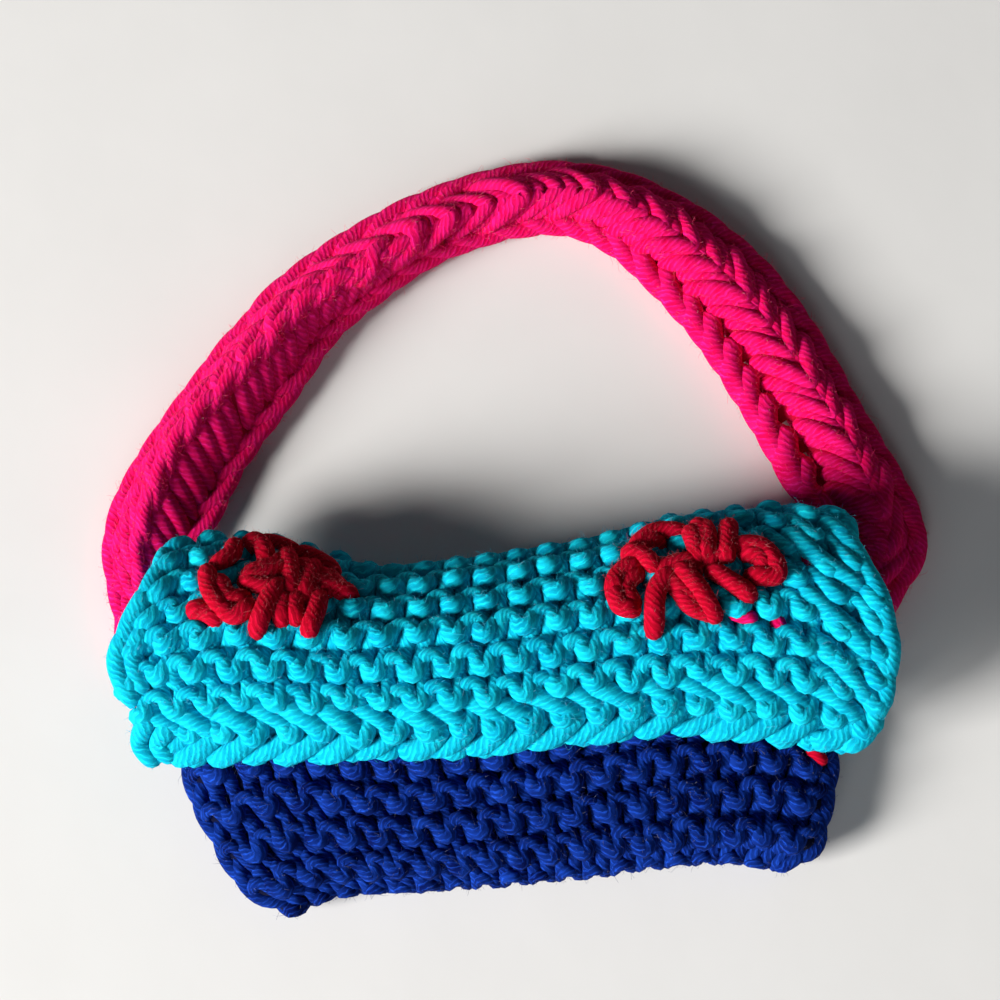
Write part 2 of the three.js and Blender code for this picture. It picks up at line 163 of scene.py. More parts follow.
def spin(name, strands, sides, finish, floor=None):
    # turns strands into one mesh of closed tubes; the map "yarn" holds turns round and
    # millimetres along, and the map "OFBake" lays the tubes side by side in a square
    turn = np.arange(sides + 1) / sides
    ringX, ringY = np.cos(2 * math.pi * turn[:-1]), np.sin(2 * math.pi * turn[:-1])
    girth = 2 * math.pi * max(s["thick"].max() for s in strands)
    endRoom = girth / 2
    total = sum(lengthAlong(s["points"])[-1] + 2 * endRoom for s in strands)
    shelf = math.sqrt(total * girth * 1.08)
    shelves = math.ceil(total / shelf) + 1
    verts, faces, yarnMap, bakeMap = [], [], [], []
    base, reach = 0, 0.0

    def bakePlace(at, shelfNo, across):
        return (at - shelfNo * shelf + 1) / (shelf + 2 * girth), (shelfNo + 0.03 + 0.94 * across) / shelves

    for s in strands:
        points, thick = s["points"], s["thick"]
        ahead, side, other = ringFrames(points)
        s["side"], s["other"] = side, other
        rings = points[:, None] + thick[:, None, None] * (
            side[:, None] * ringX[None, :, None] + other[:, None] * ringY[None, :, None])
        verts.append(rings.reshape(-1, 3))
        along = lengthAlong(points)
        count = len(points)
        j, k = np.meshgrid(np.arange(count - 1), np.arange(sides), indexing="ij")
        k2 = (k + 1) % sides
        quad = np.stack([j * sides + k, j * sides + k2, (j + 1) * sides + k2, (j + 1) * sides + k], axis=2)
        faces.extend((base + quad.reshape(-1, 4)).tolist())
        corners = np.stack([j, j, j + 1, j + 1], axis=2)
        around = np.stack([turn[k], turn[k + 1], turn[k + 1], turn[k]], axis=2)
        yarnMap.append(np.stack([around, along[corners]], axis=3).reshape(-1, 2))
        at = reach + endRoom + along
        shelfNo = np.floor((at[:-1] + at[1:]) / 2 / shelf)[:, None, None] + 0 * around
        bakeMap.append(np.stack(bakePlace(at[corners], shelfNo, around), axis=3).reshape(-1, 2))
        for ring, order, centre in ((0, -1, at[0] - endRoom / 2), (count - 1, 1, at[-1] + endRoom / 2)):
            loop = np.arange(sides)[::order]
            faces.append((base + ring * sides + loop).tolist())
            yarnMap.append(np.stack([turn[loop], np.full(sides, along[ring])], axis=1))
            capShelf = math.floor(centre / shelf)
            disc = centre + thick[ring] * ringX[loop], 0.5 + thick[ring] / girth * ringY[loop]
            bakeMap.append(np.stack(bakePlace(disc[0], capShelf, disc[1]), axis=1))
        base += count * sides
        reach = at[-1] + endRoom
    verts = np.concatenate(verts)
    if floor is not None:
        verts[:, 2] = np.maximum(verts[:, 2], floor)
    maps = ("yarn", np.concatenate(yarnMap)), ("OFBake", np.concatenate(bakeMap))
    return addPiece(name, verts, faces, finish, maps)


def raiseFuzz(name, strands, fuzz, finish):  # short loose fibres that stand out of the yarn
    lengths = np.array([lengthAlong(s["points"])[-1] for s in strands])
    pick = chance.choice(len(strands), size=fuzz["count"] * 3, p=lengths / lengths.sum())
    verts, faces, kept = [], [], 0
    corner = 2 * math.pi * np.arange(3) / 3
    for which in pick:
        s = strands[which]
        k = chance.integers(1, max(2, len(s["points"]) - 1))
        angle = chance.uniform(0, 2 * math.pi)
        away = math.cos(angle) * s["side"][k] + math.sin(angle) * s["other"][k]
        if away.dot(s["out"][k]) < 0.25:  # only on the side that shows
            continue
        ahead = np.cross(s["side"][k], s["other"][k])
        sweep = ahead * chance.normal(0, 0.9) + chance.normal(0, 0.35, 3)
        length = fuzz["length"] * chance.uniform(0.4, 1.3)
        root = s["points"][k] + away * s["thick"][k] * 0.9
        bend = root + (away * 0.55 + sweep * 0.55 + chance.normal(0, 0.15, 3)) * length
        tip = bend + (sweep * 0.6 - away * 0.15 + chance.normal(0, 0.35, 3)) * length * 0.5
        across = np.cross(tip - root, away + 0.01)
        across /= max(np.linalg.norm(across), 1e-9)
        up = np.cross(across, tip - root)
        up /= max(np.linalg.norm(up), 1e-9)
        base = kept * 7
        for place, share in ((root, 1.0), (bend, 0.7)):
            for c in corner:
                verts.append(place + fuzz["radius"] * share * (math.cos(c) * across + math.sin(c) * up))
        verts.append(tip)
        faces.append([base + 2, base + 1, base])
        for c in range(3):
            d = (c + 1) % 3
            faces.append([base + c, base + d, base + 3 + d, base + 3 + c])
            faces.append([base + 3 + c, base + 3 + d, base + 6])
        kept += 1
        if kept == fuzz["count"]:
            break
    verts = np.array(verts)
    verts[:, 2] = np.maximum(verts[:, 2], 0.02)  # none goes into the floor
    return addPiece(name, verts, faces, finish)


def layGround(name, cloth, finish, steps, relief=None, holes=None, inset=(0, 0, 0), thick=0.4):
    # the matted fibres between the loops: a thin sheet along the middle of the cloth, whose dark colour is painted
    # shade in the gaps
    us, vs = np.linspace(inset[0], 1 - inset[0], steps[0] + 1), np.linspace(inset[1], 1 - inset[2], steps[1] + 1)
    u, v = (g.ravel() for g in np.meshgrid(us, vs, indexing="ij"))
    points, _ = onCloth(cloth, u, v, relief(v) if relief else 0 * v)
    points[:, 2] = np.maximum(points[:, 2], thick)
    wide = steps[1] + 1
    faces, maps = [], []
    for i in range(steps[0]):
        for j in range(steps[1]):
            if holes and holes((us[i] + us[i + 1]) / 2, (vs[j] + vs[j + 1]) / 2):
                continue
            a = i * wide + j
            faces.append([a, a + wide, a + wide + 1, a + 1])
            maps.extend([(us[i], vs[j]), (us[i + 1], vs[j]), (us[i + 1], vs[j + 1]), (us[i], vs[j + 1])])
    piece = addPiece(name, points, faces, finish, [("cloth", maps)])
    shell = piece.modifiers.new("thickness", "SOLIDIFY")
    shell.thickness = thick * mm
    shell.offset = 0
    return piece


# Finishes
def nodeIn(tree, kind, **values):
    node = tree.nodes.new(kind)
    for key, value in values.items():
        setattr(node, key, value)
    return node


def mathIn(tree, operation, first, second=None, third=None):
    node = nodeIn(tree, "ShaderNodeMath", operation=operation)
    for socket, value in zip(node.inputs, (first, second, third)):
        if value is None:
            continue
        if isinstance(value, (int, float)):
            socket.default_value = value
        else:
            tree.links.new(value, socket)
    return node.outputs[0]


def makeYarnTwist():  # plies that wind round the strand, fibres along them and slow changes of shade
    group = bpy.data.node_groups.new("yarnTwist", "ShaderNodeTree")
    face = group.interface
    for label, value in (("Plies", 7.0), ("Pitch", 0.8), ("Groove", 0.5), ("Fibre", 0.5), ("Sway", 1.3)):
        socket = face.new_socket(label, in_out="INPUT", socket_type="NodeSocketFloat")
        socket.default_value = value
    for label in ("Height", "Streak", "Mottle"):
        face.new_socket(label, in_out="OUTPUT", socket_type="NodeSocketFloat")
    given, result = nodeIn(group, "NodeGroupInput"), nodeIn(group, "NodeGroupOutput")
    place = nodeIn(group, "ShaderNodeUVMap", uv_map="yarn")
    split = nodeIn(group, "ShaderNodeSeparateXYZ")
    group.links.new(place.outputs["UV"], split.inputs[0])
    turns = mathIn(group, "MULTIPLY", split.outputs["X"], given.outputs["Plies"])
    winds = mathIn(group, "DIVIDE", split.outputs["Y"], given.outputs["Pitch"])
    spot = nodeIn(group, "ShaderNodeTexCoord")
    stray = nodeIn(group, "ShaderNodeTexNoise")
    stray.inputs["Scale"].default_value = 700.0
    stray.inputs["Detail"].default_value = 2.0
    group.links.new(spot.outputs["Object"], stray.inputs["Vector"])
    sway = mathIn(group, "MULTIPLY", stray.outputs[0], given.outputs["Sway"])
    ply = mathIn(group, "ADD", mathIn(group, "ADD", turns, winds), sway)
    wave = mathIn(group, "COSINE", mathIn(group, "MULTIPLY", ply, 2 * math.pi))
    ridge = mathIn(group, "MULTIPLY_ADD", wave, -0.5, 0.5)
    lay = nodeIn(group, "ShaderNodeCombineXYZ")
    group.links.new(mathIn(group, "MULTIPLY", ply, 7.0), lay.inputs[0])
    group.links.new(mathIn(group, "MULTIPLY", split.outputs["Y"], 1.3), lay.inputs[1])
    fibres = nodeIn(group, "ShaderNodeTexNoise")
    fibres.inputs["Scale"].default_value = 1.0
    fibres.inputs["Detail"].default_value = 3.0
    fibres.inputs["Roughness"].default_value = 0.65
    group.links.new(lay.outputs[0], fibres.inputs["Vector"])
    sharp = nodeIn(group, "ShaderNodeMapRange")
    sharp.inputs["From Min"].default_value = 0.3
    sharp.inputs["From Max"].default_value = 0.7
    group.links.new(fibres.outputs[0], sharp.inputs["Value"])
    fine = mathIn(group, "MULTIPLY", sharp.outputs[0], given.outputs["Fibre"])
    coarse = mathIn(group, "MULTIPLY", ridge, given.outputs["Groove"])
    group.links.new(mathIn(group, "MULTIPLY_ADD", fine, 0.45, coarse), result.inputs["Height"])
    group.links.new(mathIn(group, "ADD", coarse, fine), result.inputs["Streak"])
    slow = nodeIn(group, "ShaderNodeTexNoise")
    slow.inputs["Scale"].default_value = 0.35
    slow.inputs["Detail"].default_value = 2.0
    group.links.new(place.outputs["UV"], slow.inputs["Vector"])
    group.links.new(slow.outputs[0], result.inputs["Mottle"])
    return group


yarnTwist = makeYarnTwist()


def yarnFinish(name, tone):
    finish = bpy.data.materials.new(name)
    finish.use_nodes = True
    tree = finish.node_tree
    shader = tree.nodes["Principled BSDF"]
    twist = nodeIn(tree, "ShaderNodeGroup", node_tree=yarnTwist)
    twist.inputs["Pitch"].default_value = tone["pitch"]
    twist.inputs["Groove"].default_value = tone["depth"]
    twist.inputs["Fibre"].default_value = tone["fibre"]
    # the yarn's colour: darker in the ply grooves as painted shade, lighter on the ply tops, with streaks along the
    # fibres
    ramp = nodeIn(tree, "ShaderNodeMapRange")
    ramp.inputs["From Min"].default_value = 0.25 * tone["fibre"]
    ramp.inputs["From Max"].default_value = tone["depth"] + 0.6 * tone["fibre"]
    tree.links.new(twist.outputs["Streak"], ramp.inputs["Value"])
    body = nodeIn(tree, "ShaderNodeMix", data_type="RGBA")
    body.inputs["A"].default_value = (*tone["grooveShade"], 1)
    body.inputs["B"].default_value = (*tone["ply"], 1)
    tree.links.new(ramp.outputs[0], body.inputs["Factor"])
    # then paler: in slow random patches of tone, and in glints along the ply crests, which are painted highlights
    shade = nodeIn(tree, "ShaderNodeMix", data_type="RGBA")
    shade.inputs["B"].default_value = (*tone["mottleAndGlint"], 1)
    share = nodeIn(tree, "ShaderNodeMapRange")
    share.inputs["From Min"].default_value = 0.35
    share.inputs["From Max"].default_value = 0.7
    tree.links.new(twist.outputs["Mottle"], share.inputs["Value"])
    crest = nodeIn(tree, "ShaderNodeMapRange")
    crest.inputs["From Min"].default_value = tone["depth"] + 0.3 * tone["fibre"]
    crest.inputs["From Max"].default_value = tone["depth"] + 0.75 * tone["fibre"]
    tree.links.new(twist.outputs["Streak"], crest.inputs["Value"])
    glint = mathIn(tree, "MULTIPLY_ADD", share.outputs[0], 0.35, mathIn(tree, "MULTIPLY", crest.outputs[0], 0.65))
    tree.links.new(glint, shade.inputs["Factor"])
    tree.links.new(body.outputs["Result"], shade.inputs["A"])
    tree.links.new(shade.outputs["Result"], shader.inputs["Base Color"])
    bump = nodeIn(tree, "ShaderNodeBump")
    bump.inputs["Strength"].default_value = tone["relief"]
    bump.inputs["Distance"].default_value = 0.3 * mm
    tree.links.new(twist.outputs["Height"], bump.inputs["Height"])
    tree.links.new(bump.outputs[0], shader.inputs["Normal"])
    shader.inputs["Roughness"].default_value = tone["roughness"]
    shader.inputs["Specular IOR Level"].default_value = 0.03
    shader.inputs["Sheen Weight"].default_value = tone["sheen"]
    shader.inputs["Sheen Roughness"].default_value = 0.5
    shader.inputs["Sheen Tint"].default_value = (*tone["sheenTint"], 1)
    return finish


def cloudFinish(name, low, high, scale, sheen):  # matted fibres and loose hairs
    finish = bpy.data.materials.new(name)
    finish.use_nodes = True
    tree = finish.node_tree
    shader = tree.nodes["Principled BSDF"]
    place = nodeIn(tree, "ShaderNodeTexCoord")
    cloud = nodeIn(tree, "ShaderNodeTexNoise")
    cloud.inputs["Scale"].default_value = scale
    cloud.inputs["Detail"].default_value = 4.0
    tree.links.new(place.outputs["Object"], cloud.inputs["Vector"])
    body = nodeIn(tree, "ShaderNodeMix", data_type="RGBA")
    body.inputs["A"].default_value = (*low, 1)
    body.inputs["B"].default_value = (*high, 1)
    tree.links.new(cloud.outputs[0], body.inputs["Factor"])
    tree.links.new(body.outputs["Result"], shader.inputs["Base Color"])
    bump = nodeIn(tree, "ShaderNodeBump")
    bump.inputs["Strength"].default_value = 0.5
    bump.inputs["Distance"].default_value = 0.2 * mm
    tree.links.new(cloud.outputs[0], bump.inputs["Height"])
    tree.links.new(bump.outputs[0], shader.inputs["Normal"])
    shader.inputs["Roughness"].default_value = 0.95
    shader.inputs["Specular IOR Level"].default_value = 0.1
    shader.inputs["Sheen Weight"].default_value = sheen
    return finish


# each yarn: its ply colour; a darker colour painted as shade in the ply grooves; a paler colour for slow random patches
# and for painted highlights along the ply crests; and two shares of the groove colour that darken the sheet between the
# loops as painted shade
tones = {
    "navy": {"ply": (0.001, 0.008, 0.105), "grooveShade": (0.0004, 0.003, 0.042), "mottleAndGlint": (0.012, 0.075, 0.54),
             "ground": (0.25, 0.7), "pitch": 0.85, "sheenTint": (0.3, 0.45, 1.0)},
    "turquoise": {"ply": (0.001, 0.42, 0.62), "grooveShade": (0.0005, 0.24, 0.41), "mottleAndGlint": (0.012, 0.80, 0.90),
                  "ground": (0.5, 1.0), "pitch": 0.85, "sheenTint": (0.5, 1.0, 1.0)},
    "cerise": {"ply": (0.76, 0.0008, 0.088), "grooveShade": (0.54, 0.0003, 0.034), "mottleAndGlint": (0.95, 0.02, 0.30),
               "ground": (0.5, 0.95), "pitch": 0.8, "sheenTint": (1.0, 0.4, 0.7)},
    "red": {"ply": (0.41, 0.0006, 0.013), "grooveShade": (0.21, 0.0003, 0.006), "mottleAndGlint": (0.68, 0.006, 0.045),
            "ground": (0.2, 0.5), "pitch": 0.8, "sheenTint": (1.0, 0.4, 0.4)},
}
spun = {"depth": 0.45, "fibre": 0.7, "relief": 0.5, "roughness": 0.9, "sheen": 0.02}
for tone in tones.values():
    tone.update(spun)
finishes = {name: yarnFinish(name + "Yarn", tone) for name, tone in tones.items()}
# the sheets between the loops take shares of the groove colour, as painted shade in the gaps between the loops
grounds = {name: cloudFinish(name + "Ground", *(tuple(share * c for c in tone["grooveShade"]) for share in tone["ground"]),
                             900.0, 0.05)
           for name, tone in tones.items()}
hairs = {name: cloudFinish(name + "Hair", tone["ply"], tuple(min(1, c * 1.2 + 0.02) for c in tone["ply"]), 300.0, 0.3)
         for name, tone in tones.items()}
print("finishes ready")


# Garter stitch: rows of loops that show their heads on one side and their feet on the other
def knitRows(cloth, knit):
    perStitch, stitches = knit["pointsPerStitch"], knit["stitches"]
    t = np.arange(stitches * perStitch + 1) * 2 * math.pi / perStitch
    whole = t / (2 * math.pi)
    swing = -np.cos(t)  # 1 at a head, -1 at a foot
    spread = knit["headSpread"] * (1 + swing) / 2 + knit["footSpread"] * (1 - swing) / 2
    plump = np.tanh(knit["plump"] * swing) / math.tanh(knit["plump"])

    def loose(amount):
        return np.interp(whole, np.arange(stitches + 2), amount * chance.standard_normal(stitches + 2))

    u, v, height, radius = [], [], [], []
    for i, up in enumerate(knit["rows"]):
        facing = 1 if i % 2 == knit["firstFacing"] else -1
        across = knit["from"] + whole / stitches * (knit["to"] - knit["from"])
        across = across + (spread * np.sin(2 * t) + knit["lean"] * swing + loose(knit["wander"])) / knit["width"]
        rise = up + knit["loop"] * swing * (1 + loose(0.06)) + loose(knit["wander"])
        rightEnd = np.clip((across - 0.86) / 0.14, 0, 1.1) ** 1.5  # where the upper rows bend down
        rise = rise - knit["drop"] * rightEnd * np.clip(rise / 24, 0, 1)
        deep = knit["lift"] + facing * knit["depth"] * plump * (1 - knit["pull"] * swing) * (1 + loose(0.08))
        thick = knit["yarn"] / 2 * (1 - knit["pull"] * swing) * (1 + loose(0.04))
        order = slice(None) if i % 2 == 0 else slice(None, None, -1)
        row = across[order], rise[order] / knit["length"], deep[order], thick[order]
        stores = u, v, height, radius
        if u:
            turnBack = np.linspace(0, 1, 8)[1:-1]
            end = 1 if i % 2 == 1 else -1
            bulge = end * knit["turn"] * np.sin(math.pi * turnBack) / knit["width"]
            for store, values, extra in zip(stores, row, (bulge, 0, 0, 0)):
                store.append(store[-1][-1] + (values[0] - store[-1][-1]) * turnBack + extra)
        for store, values in zip(stores, row):
            store.append(values)
    u, v, height, radius = (np.concatenate(x) for x in (u, v, height, radius))
    return strand(cloth, u, v, height, radius, 2)


# A lobe of an edge: a loop lying along the edge, its ends under its neighbours
edgeLobe = columns("ahead across height", [
    (-0.85, 0.9, -0.9), (-0.55, 0.35, 0.1), (0.0, -0.1, 0.55), (0.5, -0.1, 0.35), (0.85, 0.35, -0.4), (1.0, 0.9, -0.9)])


def shaped(table, count):
    return smoothLine(np.stack(list(table.values()), axis=1), np.linspace(0, 1, count)).T


def edgeLoops(cloth, piece, which):  # one loop for every second row along both side edges
    edge = piece["sideEdge"]
    pitch = 2 * piece["rowStep"]
    ahead, across, height = shaped(edgeLobe, edge["points"])
    strands = []
    for start, inward in ((edge["inset"], 1), (1 - edge["inset"], -1)):
        for k in which:
            at = edge["start"] + pitch * (k + 0.08 * chance.standard_normal())
            u = start + inward * across * edge["reach"] / piece["width"]
            v = (at + ahead * pitch) / piece["length"]
            strands.append(strand(cloth, u, v, height * edge["stand"] + edge["lift"], edge["yarn"] / 2, 2))
    return strands


# Flap: turquoise, from its lower edge up over the crest, round the fold to the back
flap = {
    "ends": columns("across fold edge", [
        (-1.0, 20.4, -6.3), (-0.82, 21.9, -6.4), (-0.66, 21.4, -6.2), (-0.5, 19.3, -6.0), (-0.36, 17.8, -5.8),
        (-0.2, 18.4, -5.6), (0.0, 19.6, -5.0), (0.25, 21.5, -3.6), (0.5, 24.3, -3.0), (0.85, 25.8, -4.4),
        (1.0, 24.7, -4.8)]),
    "sides": columns("up left right", [
        (0.0, -47.8, 46.0), (0.1, -47.6, 48.9), (0.2, -50.0, 49.8), (0.3, -51.6, 50.0), (0.42, -49.6, 49.6),
        (0.56, -47.4, 46.6), (0.75, -45.5, 45.0), (1.0, -43.6, 43.6)]),
    "path": columns("behindFold leftHeight rightHeight leftLift rightLift", [
        (30.0, 13.1, 13.1, -3.6, -2.6), (26.0, 15.2, 15.0, -4.2, -2.4), (20.0, 17.3, 17.0, -4.4, -1.8),
        (12.0, 18.0, 18.2, -3.6, -1.2), (6.0, 14.2, 17.6, 0.8, -1.0), (1.5, 10.2, 14.4, 3.1, -0.4),
        (0.0, 7.4, 9.6, 3.8, 1.8), (1.2, 4.6, 4.8, 5.2, 5.0), (4.6, 2.4, 2.4, 6.7, 6.7),
        (8.9, 2.3, 2.3, 6.6, 6.6)]),
    "foldRow": 6, "nominalCover": 30.0, "droopPower": 4, "width": 96.0,
    "stitches": 21, "rowStep": 2.0, "firstRow": 6.0, "yarn": 2.2, "edgeYarn": 2.75, "edgePitch": 4.5,
    "plait": columns("ahead up height", [
        (-1.30, 7.0, -0.9), (-1.08, 7.6, 0.1), (-0.78, 7.1, 0.5), (-0.45, 6.2, 0.6), (-0.14, 5.2, 0.5),
        (0.05, 4.3, 0.2), (-0.06, 3.4, 0.3), (-0.34, 2.3, 0.5), (-0.66, 1.4, 0.4), (-0.94, 1.0, 0.0),
        (-1.1, 1.6, -0.9)]),
    "plaitStart": -41.4, "plaitCount": 20, "endYarn": 2.8,
    "endStrands": columns("fromX fromY byX byY toX toY over", [  # the long strands of both ends
        (-43.4, 29.6, -45.3, 27.0, -46.6, 23.2, 0.3), (-46.2, 24.8, -48.1, 20.6, -49.0, 16.4, 0.5),
        (-48.7, 18.8, -49.5, 14.6, -47.6, 9.0, 0.6), (-46.3, 19.4, -47.6, 15.4, -46.6, 10.6, 0.4),
        (-45.8, 7.4, -47.1, 3.6, -45.4, 0.6, 0.4), (-43.2, 6.0, -44.6, 3.0, -43.2, 1.2, 0.2),
        (40.6, 29.8, 44.0, 26.2, 46.2, 22.2, 0.3), (44.2, 25.6, 46.9, 20.6, 48.2, 15.6, 0.5),
        (46.4, 19.8, 48.5, 14.6, 48.2, 9.8, 0.4), (47.4, 13.4, 48.1, 8.8, 46.4, 4.4, 0.3),
        (46.9, 7.0, 46.0, 3.0, 43.4, 1.0, 0.4), (35.6, 26.6, 40.4, 22.6, 45.2, 20.6, 0.6),
        (37.0, 19.2, 42.4, 15.6, 46.4, 12.2, 0.4), (38.6, 13.6, 43.0, 10.0, 46.4, 6.6, 0.3)]),
    "sideEdge": {"inset": 0.016, "start": 1.6, "reach": 1.5, "stand": 1.3, "lift": 0.0, "yarn": 2.5, "points": 18},
    "firstSideLoop": 7, "fuzz": {"count": 14000, "length": 0.8, "radius": 0.021},
}


def flapCloth():
    us, vs = np.linspace(0, 1, 121), np.linspace(0, 1, 281)
    left, right = (follow(flap["sides"], "up", side, vs) for side in ("left", "right"))
    place = np.zeros((len(us), len(vs), 3))
    path = flap["path"]
    for i, u in enumerate(us):
        across = 2 * u - 1
        fold = float(follow(flap["ends"], "across", "fold", across))
        cover = fold - float(follow(flap["ends"], "across", "edge", across))
        scale = np.where(np.arange(len(path["behindFold"])) < flap["foldRow"], cover / flap["nominalCover"], 1)
        lift = path["leftLift"] if across < 0 else path["rightLift"]
        height = path["leftHeight"] * (1 - u) + path["rightHeight"] * u + lift * abs(across) ** flap["droopPower"]
        knots = np.stack([0 * height, fold - path["behindFold"] * scale, height], axis=1)
        place[i] = evenly(smoothLine(knots, np.linspace(0, 1, 400)), vs)
        place[i, :, 0] = left + (right - left) * u
    return clothFrom(place)


flapSheet = flapCloth()
flap["length"] = lengthAlong(middleLine(flapSheet))[-1]
print("flap cloth", round(flap["length"], 1), "mm long")


def flapPlace(across, up):  # from millimetres across the purse and up along the cloth
    v = np.asarray(up) / flap["length"]
    left, right = (follow(flap["sides"], "up", side, v) for side in ("left", "right"))
    return (across - left) / (right - left), v


garter = {"headSpread": 0.45, "footSpread": 0.1, "lean": 0.12, "plump": 1.3, "wander": 0.18, "pull": 0.15, "lift": 0.0}
flapKnit = {**garter, "stitches": flap["stitches"], "from": 0.03, "to": 0.97, "width": flap["width"],
            "length": flap["length"], "yarn": flap["yarn"]}
flapRowCount = int((flap["length"] - 0.8 - flap["firstRow"]) / flap["rowStep"]) + 1
flapStrands = [knitRows(flapSheet, {
    **flapKnit, "rows": flap["firstRow"] + flap["rowStep"] * np.arange(flapRowCount), "firstFacing": 1,
    "loop": 2.0, "depth": 1.1, "drop": 7.0, "turn": 1.4, "pointsPerStitch": 20})]

# the rows behind the plaited edge
flapStrands.append(knitRows(flapSheet, {
    **flapKnit, "rows": np.array([2.0, 4.0]), "firstFacing": 1, "lift": -0.8, "headSpread": 0.5, "footSpread": 0.5,
    "loop": 1.6, "depth": 0.4, "drop": 0.0, "turn": 0.8, "pointsPerStitch": 12}))

# the plaited lower edge
ahead, up, height = shaped(flap["plait"], 44)
for k in range(flap["plaitCount"]):
    at = flap["plaitStart"] + flap["edgePitch"] * (k + 0.12 * chance.standard_normal())
    loose = 1 + 0.14 * chance.standard_normal(3)
    u, v = flapPlace(at + ahead * flap["edgePitch"] * loose[0], up + 0.2 * (loose[1] - 1) * (up - 1))
    flapStrands.append(strand(flapSheet, u, v, height, flap["edgeYarn"] / 2 * loose[2], 2))


def laidStitches(table, middle, seat, sink, yarn):  # pieces of yarn on the flap, each bent through three places
    strands = []
    for values in zip(*table.values()):
        stitch = dict(zip(table, values))
        knots = np.array([(stitch[p + "X"], stitch[p + "Y"], 0) for p in ("from", "by", "to")])
        t = np.linspace(0, 1, 22)
        line = smoothLine(knots, t)
        u, v = flapPlace(middle[0] + line[:, 0], middle[1] + line[:, 1])
        height = seat + stitch["over"] - sink * (1 - roundOff(np.minimum(t, 1 - t), 0.22))
        strands.append(strand(flapSheet, u, v, height, yarn / 2, 2))
    return strands


# the ends of the rows in front, and the selvedges behind the fold
flapStrands += laidStitches(flap["endStrands"], (0, 0), 0.5, 1.4, flap["endYarn"])
flapSideLoops = int((flap["length"] - 2) / (2 * flap["rowStep"])) + 1
flapStrands += edgeLoops(flapSheet, flap, range(flap["firstSideLoop"], flapSideLoops))

flapYarn = spin("flap_yarn", flapStrands, 8, finishes["turquoise"], floor=0.0)
flapHair = raiseFuzz("flap_fuzz", flapStrands, flap["fuzz"], hairs["turquoise"])


def flapRelief(v):
    pastRidge = v * flap["length"] - flap["firstRow"] - 1.5 * flap["rowStep"]
    return 0.5 * np.cos(2 * math.pi * pastRidge / (2 * flap["rowStep"]))


flapGround = layGround("flap_ground", flapSheet, grounds["turquoise"], (48, 96), flapRelief,
                       inset=(0.02, 2.8 / flap["length"], 0.02))
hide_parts("flap")


